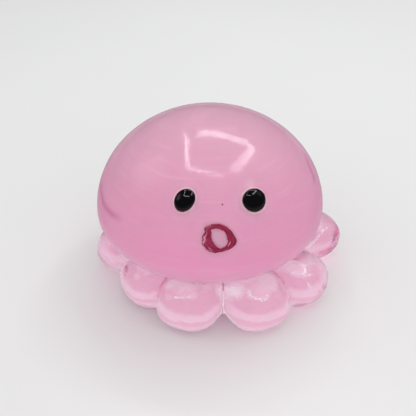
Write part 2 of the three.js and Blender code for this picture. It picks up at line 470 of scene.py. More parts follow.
plug_rubber, tree, shader, place = new_material("plug rubber")
plug_cloud = noise(tree, place, 400.0, 4.0)
plug_pinks = blend_colours(tree, plug_cloud, (0.70, 0.33, 0.48), (0.80, 0.42, 0.57))
plug(tree, shader.inputs["Base Color"], plug_pinks)
plug(tree, shader.inputs["Roughness"], map_range(tree, plug_cloud, 0.3, 0.7, 0.3, 0.5))
plug(tree, shader.inputs["Normal"], bump(tree, noise(tree, place, 1500.0), 0.2, 0.1 * MM))
scatter_light(shader, 0.6, (1.0, 0.4, 0.6), 2 * MM)
filler_bung = turned_piece("filler_bung", plug_section, HEAD_AXIS, PLUG_TURNS, plug_rubber)
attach(filler_bung, "base")
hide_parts("filler_plug")


# Legs
# Eight stubby jelly legs in a ring. Each is a solid bulb of the same clear rubber, cast with its
# root against the pad, pressed flat against its neighbours and under the head.

# Each leg's angle from the front, and its reach in millimetres from the middle of the ring.
LEGS = {
    "leg_left_1": (-23.0, 40.5),
    "leg_left_2": (-60.0, 40.0),
    "leg_left_3": (-98.0, 47.5),
    "leg_left_4": (-147.0, 43.0),
    "leg_right_1": (23.0, 40.5),
    "leg_right_2": (62.0, 41.0),
    "leg_right_3": (111.0, 48.5),
    "leg_right_4": (160.0, 43.0),
}
LEG_WIDTH = 23 * MM
LEG_HEIGHT = 19 * MM
LEG_FOOT_CUT = 0.5 * MM
LEG_ROOT = PAD_RADIUS - 9.8 * MM
LEG_GRID = 46
LEG_PLAN = 2.6
LEG_SHOULDER = 2.5
LEG_CORNER = 1.2 * MM
LEG_LUMP = 0.04
SEAM_GAP = 0.1 * MM

# Near the pad, the underside of a leg is drawn down to the floor beside its neighbours. The tuck
# is how wide this is, and its end is a share of the leg's reach, by the leg's number.
LEG_TUCK = 3.0 * MM
TUCK_ENDS = {"1": 0.65, "2": 0.82, "3": 0.74, "4": 0.74}
TUCK_FADE = 7.0
UNDERSIDE_FADE = 3.0


def new_shape(name, labels):
    """A Geometry Nodes tree with these numbers as inputs; gives the tree and a wire for each."""
    tree = bpy.data.node_groups.new(name, "GeometryNodeTree")
    tree.interface.new_socket("Geometry", in_out="OUTPUT", socket_type="NodeSocketGeometry")
    for label in labels:
        tree.interface.new_socket(label, in_out="INPUT", socket_type="NodeSocketFloat")
    source = tree.nodes.new("NodeGroupInput")
    return tree, {label: Wire(tree, source.outputs[label]) for label in labels}


def point_axes(tree):
    """The x, y and z of a shape's points, as wires."""
    return axes(tree, Wire(tree, tree.nodes.new("GeometryNodeInputPosition").outputs[0]))


def ball_directions(tree, grid, plan=2.0, shoulder=2.0):
    """An evenly gridded ball of radius 1; its plan and upper half are squarer above a power of 2.

    Gives its geometry, and the x, y and z of its points.
    """
    cube = add(
        tree, "GeometryNodeMeshCube", Size=(2.0, 2.0, 2.0),
        Vertices_X=grid, Vertices_Y=grid, Vertices_Z=grid,
    )
    quarter = math.pi / 4
    bent = [(axis * quarter).math("TANGENT") for axis in point_axes(tree)]
    powers = [axis.math("ABSOLUTE").math("POWER", plan) for axis in bent[:2]]
    level = (powers[0] + powers[1]).math("POWER", 1.0 / plan)
    power = bent[2].math("GREATER_THAN", 0.0) * (shoulder - 2.0) + 2.0
    length = level.math("POWER", power) + bent[2].math("ABSOLUTE").math("POWER", power)
    length = length.math("POWER", power.math("POWER", -1.0))
    return Wire(tree, cube.outputs[0]), [axis / length for axis in bent]


def swelling(tree, size, scale, detail):
    """How far the lumps push each point of a shape out or in, about 1."""
    lumps = add(
        tree, "ShaderNodeTexNoise", {"noise_dimensions": "4D"},
        W=size["Seed"], Scale=scale, Detail=detail,
    )
    return (Wire(tree, lumps.outputs[0]) - 0.5) * size["Lump"] + 1.0


def joined(tree, x, y, z):
    made = add(tree, "ShaderNodeCombineXYZ", X=x, Y=y, Z=z)
    return Wire(tree, made.outputs[0])


def close_shape(tree, geometry, position, material, seam=None, seam_material=None):
    """Moves the points, smooths, and ends as plain faces with a material, and another on seams."""
    moved = add(tree, "GeometryNodeSetPosition", Geometry=geometry, Position=position)
    smooth = add(tree, "GeometryNodeSetShadeSmooth", Geometry=Wire(tree, moved.outputs[0]))
    real = add(tree, "GeometryNodeRealizeInstances", Geometry=Wire(tree, smooth.outputs[0]))
    done = add(tree, "GeometryNodeSetMaterial", Geometry=Wire(tree, real.outputs[0]), Material=material)
    if seam:
        done = add(
            tree, "GeometryNodeSetMaterial", Geometry=Wire(tree, done.outputs[0]),
            Selection=seam, Material=seam_material,
        )
    result = tree.nodes.new("NodeGroupOutput")
    tree.links.new(done.outputs[0], result.inputs[0])


def grow_piece(name, tree, values):
    """Runs a tree with these input values and keeps the result as a plain mesh."""
    piece = bpy.data.objects.new(name, bpy.data.meshes.new(name))
    scene.collection.objects.link(piece)
    grown = piece.modifiers.new("shape", "NODES")
    grown.node_group = tree
    for item in tree.interface.items_tree:
        if item.in_out == "INPUT":
            grown[item.identifier] = values[item.name]
    ready = piece.evaluated_get(bpy.context.evaluated_depsgraph_get())
    mesh = bpy.data.meshes.new_from_object(ready)
    piece.modifiers.remove(grown)
    piece.data = mesh
    mesh.name = name
    keep_rest(mesh)
    return piece


# The marks' lines, in millimetres from the middle of the footprint: creases along which glints
# are painted, a fold with a painted highlight, and cloudy edges.
LEG_GLINT_CREASES = [
    [
        (9.3, -30.2, 17.9), (8.8, -31.6, 17.6), (9.2, -32.6, 17.3), (10.9, -33.4, 17.1),
        (12.9, -34.0, 16.6), (14.3, -33.7, 16.5), (15.2, -32.4, 16.8),
    ],
    [(-15.7, -32.6, 16.7), (-12.7, -33.2, 16.9), (-10.8, -33.0, 17.1)],
    [(30.6, -23.7, 13.7), (29.8, -23.2, 14.8)],
    [
        (25.4, -16.8, 18.2), (27.6, -16.4, 18.1), (29.7, -16.4, 17.7), (32.0, -14.9, 17.2),
        (33.9, -14.7, 16.4),
    ],
    [(28.2, -21.7, 16.5), (30.3, -20.9, 16.3), (32.3, -19.3, 15.9)],
    [(24.4, -20.4, 17.3), (26.8, -20.8, 17.1)],
    [
        (32.8, 0.9, 12.9), (35.6, 3.0, 14.6), (37.2, 4.8, 15.6), (39.0, 7.2, 16.3),
        (40.4, 8.6, 16.2),
    ],
]
LEG_LIT_FOLDS = [[(-0.4, -28.0, 14.3), (5.0, -30.3, 16.3)]]
LEG_CLOUDS = [
    [(27.9, -13.1, 18.2), (32.3, -10.1, 16.9), (36.1, -15.3, 14.6), (36.3, -17.6, 12.8)],
    [(-46.1, 3.1, 13.6), (-44.9, -1.4, 12.2), (-41.8, -4.3, 9.3), (-38.5, -5.4, 6.9)],
]


def line_pieces(origin, lines):
    """The straight pieces of bent lines that are given in millimetres from an origin."""
    return [
        (origin + Vector(start) * MM, origin + Vector(end) * MM)
        for line in lines
        for start, end in zip(line, line[1:])
    ]


leg_rubber = jelly_rubber(
    "jelly leg rubber", 0.7, ((0.86, 0.44, 0.60), (0.94, 0.62, 0.75)), 18.0,
    [line_pieces(FOOTPRINT, lines) for lines in (LEG_GLINT_CREASES, LEG_LIT_FOLDS, LEG_CLOUDS)],
)
# The leg faces that meet the head's underside are painted pale, standing in for the light that the
# joined jelly carries there: painted light.
pale_seat_rubber, tree, shader, place = new_material("pale leg seat")
pale_seat_cloud = map_range(tree, noise(tree, place, 150.0, 3.0), 0.35, 0.65, 0.0, 1.0)
pale_seat_pinks = blend_colours(tree, pale_seat_cloud, (0.96, 0.80, 0.87), (0.98, 0.85, 0.91))
plug(tree, shader.inputs["Base Color"], pale_seat_pinks)
shader.inputs["Roughness"].default_value = 0.6
leg_tree, size = new_shape(
    "jelly leg",
    [
        "Angle", "Reach", "Root", "Width", "Height", "Foot Cut", "Wall Left", "Wall Right",
        "Pad Radius", "Head Shift", "Head Radius", "Head Belly", "Head Ring", "Gap", "Seat Gap",
        "Corner", "Seam Gap", "Tuck", "Tuck End", "Lump", "Seed",
    ],
)


def inside_wall(wall, facing, east, north):
    """The level direction into the leg from one of its side walls, and how far in a point lies."""
    wall_x = size[wall].math("COSINE") * facing
    wall_y = size[wall].math("SINE") * facing
    return wall_x, wall_y, east * wall_x + north * wall_y


def seat_height(east, north):
    """Height of the head's underside over a point."""
    from_head = east - size["Head Shift"]
    reach = size["Head Radius"] + size["Seat Gap"]
    spread = (from_head * from_head + north * north) / reach / reach
    hollow = (-spread + 1.0).math("MAXIMUM", 0.0).math("SQRT")
    return size["Head Ring"] - (size["Head Belly"] + size["Seat Gap"]) * hollow


ball, (side, out, up) = ball_directions(leg_tree, LEG_GRID, LEG_PLAN, LEG_SHOULDER)
swell = swelling(leg_tree, size, 2.2, 1.0)
across = -side * size["Width"] / 2.0 * swell
along = (size["Reach"] + size["Root"]) / 2.0
along = along + out * (size["Reach"] - size["Root"]) / 2.0 * swell
high = size["Height"] / 2.0 - size["Foot Cut"] + up * size["Height"] / 2.0 * swell
cosine = size["Angle"].math("COSINE")
sine = size["Angle"].math("SINE")
east = across * cosine + along * sine
north = across * sine - along * cosine
lower = (-up * UNDERSIDE_FADE).held()
hidden = ((size["Tuck End"] - along / size["Reach"]) * TUCK_FADE).held()
for wall, facing in (("Wall Left", 1.0), ("Wall Right", -1.0)):
    wall_x, wall_y, inside = inside_wall(wall, facing, east, north)
    beside = (-inside / size["Tuck"] + 1.0).held()
    high = high * (-(lower * hidden * beside) + 1.0)
    push = inside.math("SMOOTH_MAX", size["Gap"] / 2.0, size["Corner"]) - inside
    east = east + wall_x * push
    north = north + wall_y * push
middle = (east * east + north * north).math("SQRT")
stretch = middle.math("SMOOTH_MAX", size["Pad Radius"] + size["Gap"], size["Corner"]) / middle
east = east * stretch
north = north * stretch
high = high.math("SMOOTH_MIN", seat_height(east, north), size["Corner"])
high = high.math("SMOOTH_MAX", 0.0, size["Foot Cut"])
leg_place = joined(leg_tree, east + RING_AXIS.x, north + RING_AXIS.y, high)
final_x, final_y, final_z = point_axes(leg_tree)
room = seat_height(final_x - RING_AXIS.x, final_y - RING_AXIS.y) - final_z
seam = room.math("LESS_THAN", size["Seam Gap"])
close_shape(leg_tree, ball, leg_place, leg_rubber, seam, pale_seat_rubber)

# The head overhangs the left legs most, so these have more room under it to lift into.
LIFT_ROOM = {
    "leg_left_1": 0.9 * MM,
    "leg_left_2": 1.6 * MM,
    "leg_left_3": 0.9 * MM,
    "leg_left_4": 0.9 * MM,
}
leg_angles = sorted(angle for angle, _ in LEGS.values())
for order, (leg_name, (leg_angle, leg_reach)) in enumerate(LEGS.items()):
    at = leg_angles.index(leg_angle)
    before = (leg_angle - leg_angles[at - 1]) % 360.0
    after = (leg_angles[(at + 1) % len(leg_angles)] - leg_angle) % 360.0
    heading = math.radians(leg_angle)
    leg = grow_piece(
        "jelly_" + leg_name,
        leg_tree,
        {
            "Angle": heading,
            "Reach": leg_reach * MM,
            "Root": LEG_ROOT,
            "Width": LEG_WIDTH,
            "Height": LEG_HEIGHT,
            "Foot Cut": LEG_FOOT_CUT,
            "Wall Left": math.radians(leg_angle - before / 2.0),
            "Wall Right": math.radians(leg_angle + after / 2.0),
            "Pad Radius": PAD_RADIUS,
            "Head Shift": HEAD_AXIS.x - RING_AXIS.x,
            "Head Radius": HEAD_RADIUS,
            "Head Belly": HEAD_BELLY,
            "Head Ring": HEAD_RING_HEIGHT,
            "Gap": GAP,
            "Seat Gap": GAP + LIFT_ROOM.get(leg_name, 0.0),
            "Corner": LEG_CORNER,
            "Seam Gap": SEAM_GAP,
            "Tuck": LEG_TUCK,
            "Tuck End": TUCK_ENDS[leg_name[-1]],
            "Lump": LEG_LUMP,
            "Seed": 3.0 * order,
        },
    )
    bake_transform(leg)
    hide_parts(leg_name)


# Gel fill
# The soft gel that fills the head and gives it its slow squeeze. It is poured in through the
# bore as a liquid and sets against the skin.
SKIN_WALL = 2.4 * MM
HEAD_TOP = Vector((HEAD_AXIS.x, HEAD_AXIS.y, HEAD_HIGH.z))
GEL_GRID = 32


def head_tree(name, grid, material):
    """Two half balls of one width and different heights that meet at the widest ring."""
    tree, size = new_shape(
        name,
        ["Radius", "Crown", "Belly", "Ring Height", "Bore Radius", "Bore Top", "Lump", "Seed"],
    )
    ball, (right, back, up) = ball_directions(tree, grid)
    swell = swelling(tree, size, 1.3, 2.0)
    east = right * size["Radius"] * swell
    north = back * size["Radius"] * swell
    rise = up.math("MAXIMUM", 0.0) * size["Crown"] + up.math("MINIMUM", 0.0) * size["Belly"]
    high = size["Ring Height"] + rise * swell
    middle = (east * east + north * north).math("SQRT")
    bored = middle.math("LESS_THAN", size["Bore Radius"]) * up.math("LESS_THAN", 0.0)
    high = high + bored * (size["Bore Top"] - high).math("MAXIMUM", 0.0)
    close_shape(tree, ball, joined(tree, east + HEAD_AXIS.x, north + HEAD_AXIS.y, high), material)
    return tree


def squeeze_with_head(piece):
    """Rides the head, with a mesh of its own."""
    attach(piece, "head")
    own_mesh(piece)


gel, tree, shader, place = new_material("soft gel")
gel_cloud = noise(tree, place, 90.0, 4.0)
gel_pinks = blend_colours(tree, gel_cloud, (0.62, 0.24, 0.40), (0.72, 0.30, 0.46))
plug(tree, shader.inputs["Base Color"], gel_pinks)
plug(tree, shader.inputs["Roughness"], map_range(tree, gel_cloud, 0.3, 0.7, 0.25, 0.4))
scatter_light(shader, 1.0, (1.0, 0.35, 0.55), 8 * MM)
inner = SKIN_WALL + GAP
gel_core = grow_piece(
    "gel_core",
    head_tree("gel core", GEL_GRID, gel),
    {
        "Radius": HEAD_RADIUS - inner, "Crown": HEAD_CROWN - inner, "Belly": HEAD_BELLY - inner,
        "Ring Height": HEAD_RING_HEIGHT, "Bore Radius": 0.0, "Bore Top": 0.0,
        "Lump": 0.0, "Seed": 0.0,
    },
)
squeeze_with_head(gel_core)
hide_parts("gel_fill")


# Head skin
# The big bun-shaped head. Its skin is milky pink rubber, slush-moulded in two halves, glossy from the
# mould, with the mould's faint turning marks round it and a few specks in the rubber. Light and shade
# are painted on it too: a greyer sheen towards the crown, deeper pink shade at the sides and in two
# arcs near the edges, a highlight above the right eye, and paler halos round the eyes and the mouth.
HEAD_CENTRE = Vector((HEAD_AXIS.x, HEAD_AXIS.y, HEAD_RING_HEIGHT))
SKIN_GRID = 90
SKIN_LUMP = 0.006
SKIN_SEED = 5.0
SKIN_LOW_COLOUR = (0.76, 0.325, 0.505)
SKIN_CROWN_SHEEN_COLOUR = (0.63, 0.355, 0.46)
SKIN_STREAK_COLOUR = (0.80, 0.42, 0.57)
SKIN_SIDE_SHADE_COLOUR = (0.70, 0.24, 0.42)

# Two specks in the rubber and a painted highlight above the right eye: place in millimetres from
# the head's middle, inner and outer radius, strength and colour.
SKIN_MARKS = [
    ((3.7, -32.6, 19.5), 0.15, 0.4, 1.0, (0.12, 0.02, 0.05)),
    ((19.5, -0.1, 29.8), 0.15, 0.4, 1.0, (0.12, 0.02, 0.05)),
    ((12.6, -26.9, 22.7), 0.6, 2.6, 0.3, (0.90, 0.60, 0.72)),
]

# Two arcs of painted shade near the left and right edges: where each is strongest, how far that reaches
# and ends, strength and corners.
SKIN_SHADE_ARCS = [
    ((-35.6, -15.0, 8.8), 8.0, 15.0, 0.7, [
        (-37.4, -6.2, 10.5), (-36.8, -10.6, 9.8), (-35.9, -14.2, 8.8),
        (-34.3, -17.9, 8.5), (-32.3, -21.3, 8.6), (-28.6, -25.8, 9.3),
    ]),
    ((34.6, -5.6, 16.2), 3.0, 9.0, 0.75, [
        (32.2, -1.6, 19.8), (33.2, -4.9, 18.4), (34.0, -6.8, 16.8), (34.9, -8.0, 15.1),
        (35.1, -9.6, 14.2),
    ]),
]
SKIN_SHADE_ARC_WIDTH = (0.2 * MM, 1.9 * MM)
SKIN_SHADE_ARC_COLOUR = (0.52, 0.12, 0.28)
skin, tree, shader, place = new_material("milky head rubber")
cloud = noise(tree, place, 28.0, 3.0)
eastward, _, level = axes(tree, place)
# Painted sheen: the skin turns greyer towards the crown.
crown = map_range(tree, level, HEAD_RING_HEIGHT, HEAD_HIGH.z, 0.0, 0.9) + (cloud - 0.5) * 0.4
skin_pinks = blend_colours(tree, crown, SKIN_LOW_COLOUR, SKIN_CROWN_SHEEN_COLOUR)
plug(tree, shader.inputs["Base Color"], skin_pinks)
streaks = noise(tree, place, 60.0, 4.0, stretch=(1.0, 1.0, 18.0))
plug(tree, shader.inputs["Roughness"], map_range(tree, streaks, 0.3, 0.7, 0.38, 0.5))
grain = noise(tree, place, 1100.0, 2.0)
relief = streaks * 1.2 + grain
plug(tree, shader.inputs["Normal"], bump(tree, relief, 1.0, 0.02 * MM))
pebbles = noise(tree, place, 650.0, 1.0)
coat_relief = streaks * 0.3 + grain + pebbles * 1.3
plug(tree, shader.inputs["Coat Normal"], bump(tree, coat_relief, 1.0, 0.024 * MM))
shader.inputs["Coat Weight"].default_value = 0.8
shader.inputs["Specular IOR Level"].default_value = 0.2
shader.inputs["IOR"].default_value = 1.45
shader.inputs["Coat Roughness"].default_value = 0.085
scatter_light(shader, 1.0, (1.0, 0.45, 0.65), 13 * MM)
skin_tree, skin_shader, skin_place = tree, shader, place


def tint_skin(share, colour):
    """Lays one more colour over the skin's own."""
    slot = skin_shader.inputs["Base Color"]
    below = Wire(skin_tree, slot.links[0].from_socket)
    plug(skin_tree, slot, blend_colours(skin_tree, share, below, colour))


tint_skin(map_range(tree, streaks, 0.54, 0.72, 0.0, 0.3), SKIN_STREAK_COLOUR)
# Painted shade: the left and right sides turn a deeper pink towards the edges.
aside = (eastward - HEAD_AXIS.x).math("ABSOLUTE")
tint_skin(map_range(tree, aside, 31 * MM, 40 * MM, 0.0, 0.7), SKIN_SIDE_SHADE_COLOUR)
uneven = map_range(tree, cloud, 0.35, 0.6, 0.7, 1.0)
# Two arcs of painted shade near the edges.
for middle, inner, outer, share, corners in SKIN_SHADE_ARCS:
    shade_arc = near_lines(tree, place, line_pieces(HEAD_CENTRE, [corners]), *SKIN_SHADE_ARC_WIDTH)
    strongest = near(tree, place, HEAD_CENTRE + Vector(middle) * MM, inner * MM, outer * MM)
    tint_skin(shade_arc * strongest * uneven * share, SKIN_SHADE_ARC_COLOUR)
for mark, inner, outer, share, colour in SKIN_MARKS:
    spot = HEAD_CENTRE + Vector(mark) * MM
    tint_skin(near(tree, place, spot, inner * MM, outer * MM) * share, colour)
soft_head = grow_piece(
    "soft_head",
    head_tree("head skin", SKIN_GRID, skin),
    {
        "Radius": HEAD_RADIUS, "Crown": HEAD_CROWN, "Belly": HEAD_BELLY,
        "Ring Height": HEAD_RING_HEIGHT, "Bore Radius": SHANK_RADIUS + GAP,
        "Bore Top": HEAD_LOW.z + SKIN_WALL, "Lump": SKIN_LUMP, "Seed": SKIN_SEED,
    },
)
squeeze_with_head(soft_head)
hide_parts("head_skin")


# Eyes
# Two domed drops of black enamel, let fall on the finished skin and left to level. Each sags a
# little, and has a rounded edge, a slightly uneven outline and a mirror gloss.
FACE_TURN = 5.0
EYE_DOME = 1.7 * MM
EYE_SEAT = 0.5 * MM
EYE_UNDERCUT = math.radians(21.6)
EYE_TAPER = 0.12
EYE_TURNS = 72
EYE_RINGS = 18
# A pale halo and a paler rim are painted on the skin round each eye: painted light against the shade
# there, and a painted highlight at the eye's edge.
EYE_LIGHT_HALO = (0.80, 0.40, 0.56)
EYE_HIGHLIGHT_RIM = (0.95, 0.70, 0.80)

# Turn from the face's middle, rise over the head's widest ring, width, height, lean and sag.
EYES = {
    "eye_left": (-19.25, 20.1 * MM, 6.55 * MM, 7.4 * MM, 0.09, 0.40),
    "eye_right": (19.5, 19.3 * MM, 7.8 * MM, 7.55 * MM, 0.0, 0.12),
}


def half_height(rise):
    """Height of the half of the head, upper or lower, that a rise from its middle lies in."""
    return HEAD_CROWN if rise > 0.0 else HEAD_BELLY


def skin_normal(offset):
    """The outward direction of the skin, at an offset from the head's middle."""
    wide, tall = HEAD_RADIUS**2, half_height(offset.z) ** 2
    return Vector((offset.x / wide, offset.y / wide, offset.z / tall)).normalized()


def on_head(turn, rise):
    """A place on the head, by angle from the front and rise over its widest ring.

    Gives the place, and the directions to the right and up along the skin.
    """
    radius = HEAD_RADIUS * math.sqrt(max(0.0, 1.0 - (rise / half_height(rise)) ** 2))
    angle = math.radians(turn)
    offset = Vector((radius * math.sin(angle), -radius * math.cos(angle), rise))
    right = Vector((math.cos(angle), math.sin(angle), 0.0))
    return HEAD_CENTRE + offset, right, skin_normal(offset).cross(right)


def on_skin(spot, x, y, lift):
    """A point of a flat drawing round a place on the head, laid on the skin and lifted off it."""
    place, right, top = spot
    ray = place + right * x + top * y - HEAD_CENTRE
    level = math.hypot(ray.x, ray.y) / HEAD_RADIUS
    offset = ray / math.hypot(level, ray.z / half_height(ray.z))
    return HEAD_CENTRE + offset + skin_normal(offset) * lift


enamel, tree, shader, place = new_material("black eye enamel")
dust = noise(tree, place, 1400.0, 3.0)
blacks = blend_colours(tree, dust, (0.0006, 0.0006, 0.001), (0.002, 0.002, 0.003))
plug(tree, shader.inputs["Base Color"], blacks)
plug(tree, shader.inputs["Roughness"], map_range(tree, dust, 0.35, 0.75, 0.015, 0.04))
plug(tree, shader.inputs["Normal"], bump(tree, noise(tree, place, 350.0, 1.0), 0.04, 0.2 * MM))
shader.inputs["IOR"].default_value = 1.5
shader.inputs["Specular IOR Level"].default_value = 0.35


def eye_distance(spot, width, tall, lean):
    """How far a point of the skin lies from an eye's middle, 1 at its edge."""
    place, *directions = spot
    offset = add(skin_tree, "ShaderNodeVectorMath", {"operation": "SUBTRACT"})
    plug(skin_tree, offset.inputs[0], skin_place)
    plug(skin_tree, offset.inputs[1], place)
    sides = []
    for direction in directions:
        side = add(skin_tree, "ShaderNodeVectorMath", {"operation": "DOT_PRODUCT"})
        plug(skin_tree, side.inputs[0], Wire(skin_tree, offset.outputs[0]))
        plug(skin_tree, side.inputs[1], direction)
        sides.append(Wire(skin_tree, side.outputs["Value"]))
    x = (sides[0] - sides[1] * lean) / (width / 2.0)
    y = sides[1] / (tall / 2.0)
    return (x * x + y * y).math("SQRT")


def eye_piece(name, turn, rise, width, tall, lean, sag):
    """An eye, built in rings from its seat under the skin up to the top of its dome."""
    spot = on_head(FACE_TURN + turn, rise)
    points = []
    for step in range(EYE_TURNS):
        angle = math.tau * step / EYE_TURNS
        uneven = 1.0 + 0.02 * math.sin(2.0 * angle + turn) + 0.012 * math.sin(3.0 * angle - turn)
        for ring in range(EYE_RINGS - 1, 0, -1):
            arc = (math.pi / 2 + EYE_UNDERCUT) * ring / (EYE_RINGS - 1)
            under = arc - math.pi / 2
            if under < 0.0:
                radius = math.sin(arc)
                lift = EYE_DOME * math.cos(arc) * (1.0 - sag * radius * math.sin(angle))
            else:
                radius = 1.0 - EYE_TAPER * under**2
                lift = -EYE_SEAT * under / EYE_UNDERCUT
            x = radius * width / 2.0 * math.cos(angle) * uneven
            y = radius * tall / 2.0 * math.sin(angle) * uneven
            points.append(on_skin(spot, x + lean * y, y, lift))
    points.append(on_skin(spot, 0.0, 0.0, -EYE_SEAT))
    points.append(on_skin(spot, 0.0, 0.0, EYE_DOME))
    away = eye_distance(spot, width, tall, lean)
    # Painted light on the skin round the eye: a pale halo, and a painted highlight along its edge.
    tint_skin(map_range(skin_tree, away, 1.1, 1.9, 0.45, 0.0), EYE_LIGHT_HALO)
    tint_skin(map_range(skin_tree, away, 1.06, 1.2, 0.6, 0.0), EYE_HIGHLIGHT_RIM)
    return new_piece(name, points, capped_faces(EYE_TURNS, EYE_RINGS - 1), enamel)


for eye_name, sizes in EYES.items():
    glossy_eye = eye_piece("glossy_" + eye_name, *sizes)
    squeeze_with_head(glossy_eye)
    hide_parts(eye_name)


# Mouth
# A ring brushed on the skin by hand in raspberry paint, thick where the brush turned and
# ragged along its edges, so it stands a little proud of the skin.
MOUTH_TURN = -0.8
MOUTH_RISE = 10.5 * MM
MOUTH_OUTSIDE = [
    (-2.2, 4.45), (-0.5, 4.6), (1.0, 4.25), (2.55, 3.35), (3.85, 2.05), (4.7, 0.6),
    (5.35, -0.9), (5.0, -2.25), (3.85, -3.3), (2.1, -4.0), (0.4, -4.4), (-1.3, -4.6),
    (-2.9, -4.3), (-3.95, -3.45), (-4.9, -2.45), (-5.35, -1.1), (-5.25, 0.4), (-4.8, 1.7),
    (-4.4, 2.6), (-4.65, 3.05), (-3.9, 3.9), (-2.9, 4.2),
]
MOUTH_INSIDE = [
    (-2.4, 2.8), (-0.9, 3.15), (0.6, 2.7), (1.7, 2.05), (2.25, 0.8), (2.45, -0.25),
    (2.65, -1.15), (2.2, -2.15), (1.45, -2.8), (0.4, -3.2), (-0.5, -2.9), (-1.55, -1.6),
    (-2.2, -0.5), (-2.5, 0.6), (-2.4, 1.7),
]
MOUTH_TURNS = 220
MOUTH_STEPS = 400
MOUTH_LIGHT_HALO = (0.80, 0.38, 0.55)
PAINT_THICKNESS = 0.35 * MM
PAINT_SEAT = 0.15 * MM
PAINT_DARK = (0.20, 0.008, 0.038)
PAINT_LIGHT = (0.33, 0.022, 0.08)
BARE_SKIN = (0.80, 0.40, 0.56)
BRUSH_FINENESS = 5.0
PALE_SPOT_ANGLE = math.radians(-31.0)


def closed_curve(points, share):
    """A point on the smooth closed curve through these points."""
    count = len(points)
    at = share * count
    first = int(at) % count
    t = at - int(at)
    a, b, c, d = (Vector(points[(first + step) % count]) for step in (-1, 0, 1, 2))
    bend = 2 * a - 5 * b + 4 * c - d
    twist = 3 * b - a - 3 * c + d
    return 0.5 * (2 * b + (c - a) * t + bend * t**2 + twist * t**3)


def at_angle(points, angle):
    """The point of a closed curve that lies at an angle round the drawing's middle."""
    return min(
        (closed_curve(points, step / MOUTH_STEPS) for step in range(MOUTH_STEPS)),
        key=lambda p: abs((math.atan2(p.y, p.x) - angle + math.pi) % math.tau - math.pi),
    )


# The paint's section: share of the way from its inner to its outer edge, and share of its height.
paint_section = [
    (0.0, -1.0), (0.0, 0.35), (0.06, 0.75), (0.16, 0.95), (0.32, 1.0), (0.5, 0.96),
    (0.68, 1.0), (0.84, 0.95), (0.94, 0.75), (1.0, 0.35), (1.0, -1.0),
]
mouth_spot = on_head(FACE_TURN + MOUTH_TURN, MOUTH_RISE)
# The skin round the mouth is painted paler: painted light against the shade there.
tint_skin(near(skin_tree, skin_place, mouth_spot[0], 5.0 * MM, 9.0 * MM) * 0.4, MOUTH_LIGHT_HALO)
mouth_points = []
brush_places = []
for step in range(MOUTH_TURNS):
    angle = math.tau * step / MOUTH_TURNS - math.pi
    inside = at_angle(MOUTH_INSIDE, angle)
    outside = at_angle(MOUTH_OUTSIDE, angle)
    ragged = math.sin(13.0 * angle + 0.7) + 0.7 * math.sin(31.0 * angle + 2.1)
    ragged += 0.5 * math.sin(53.0 * angle)
    outside = outside * (1.0 + (0.01 - 0.008 * math.cos(angle)) * ragged)
    inside = inside * (1.0 + 0.018 * math.sin(17.0 * angle + 1.0) + 0.012 * math.sin(41.0 * angle))
    for share, level in paint_section:
        brush_places += [math.cos(angle), math.sin(angle), share * BRUSH_FINENESS]
        flat = inside.lerp(outside, share) * MM
        lift = level * PAINT_THICKNESS if level > 0.0 else level * PAINT_SEAT
        mouth_points.append(on_skin(mouth_spot, flat.x, flat.y, lift))
paint, tree, shader, _ = new_material("raspberry mouth paint")
stroke = Wire(tree, add(tree, "ShaderNodeAttribute", {"attribute_name": "brush"}).outputs["Vector"])
brush = noise(tree, stroke, 1.9, 3.0)
paint_shade = map_range(tree, brush, 0.38, 0.64, 0.0, 1.0)
painted = blend_colours(tree, paint_shade, PAINT_DARK, PAINT_LIGHT)
sideways, _, outward = axes(tree, stroke)
left_side = map_range(tree, sideways, -0.35, -0.75, 0.0, 1.0)
outer_edge = map_range(tree, outward, 0.5 * BRUSH_FINENESS, 0.85 * BRUSH_FINENESS, 0.0, 1.0)
bare = map_range(tree, noise(tree, stroke, 2.6, 2.0), 0.53, 0.58, 0.0, 1.0) * left_side * outer_edge
# A pale spot in the skin's colour near the inner edge of the ring, at its lower right.
pale_spot = Vector((math.cos(PALE_SPOT_ANGLE), math.sin(PALE_SPOT_ANGLE), 0.25 * BRUSH_FINENESS))
bare = bare.math("MAXIMUM", near(tree, stroke, pale_spot, 0.08, 0.35))
plug(tree, shader.inputs["Base Color"], blend_colours(tree, bare * 0.85, painted, BARE_SKIN))
plug(tree, shader.inputs["Roughness"], map_range(tree, brush, 0.3, 0.7, 0.35, 0.55))
plug(tree, shader.inputs["Normal"], bump(tree, brush, 0.5, 0.25 * MM))
shader.inputs["Specular IOR Level"].default_value = 0.15
mouth_faces = ring_faces(MOUTH_TURNS, len(paint_section))
painted_mouth = new_piece("painted_mouth", mouth_points, mouth_faces, paint)
brush_map = painted_mouth.data.attributes.new("brush", "FLOAT_VECTOR", "POINT")
brush_map.data.foreach_set("vector", brush_places)
squeeze_with_head(painted_mouth)
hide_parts("mouth_ring")


# Floor, light and camera
# A plain pale floor and an even white surround, lit by a bent frame of slim lamps overhead and
# by two soft panels at the sides, seen from in front and above.
FLOOR_SIZE = 3.0
FLOOR_LIGHT = (0.80, 0.80, 0.80)
FLOOR_DARK = (0.76, 0.765, 0.765)
FLOOR_THROUGH = (0.86, 0.85, 0.86)
FLOOR_MIRRORED_FAR = (0.40, 0.32, 0.355)
FLOOR_MIRRORED_PINK_GLOW = (0.66, 0.54, 0.59)

# The floor lies a little above the lowest points of the soft feet, which settle into it.
FLOOR_RISE = 1.9 * MM
floor_paint, tree, shader, place = new_material("pale floor")
floor_cloud = noise(tree, place, 6.0, 3.0)
plug(tree, shader.inputs["Base Color"], blend_colours(tree, floor_cloud, FLOOR_DARK, FLOOR_LIGHT))
shader.inputs["Roughness"].default_value = 0.45

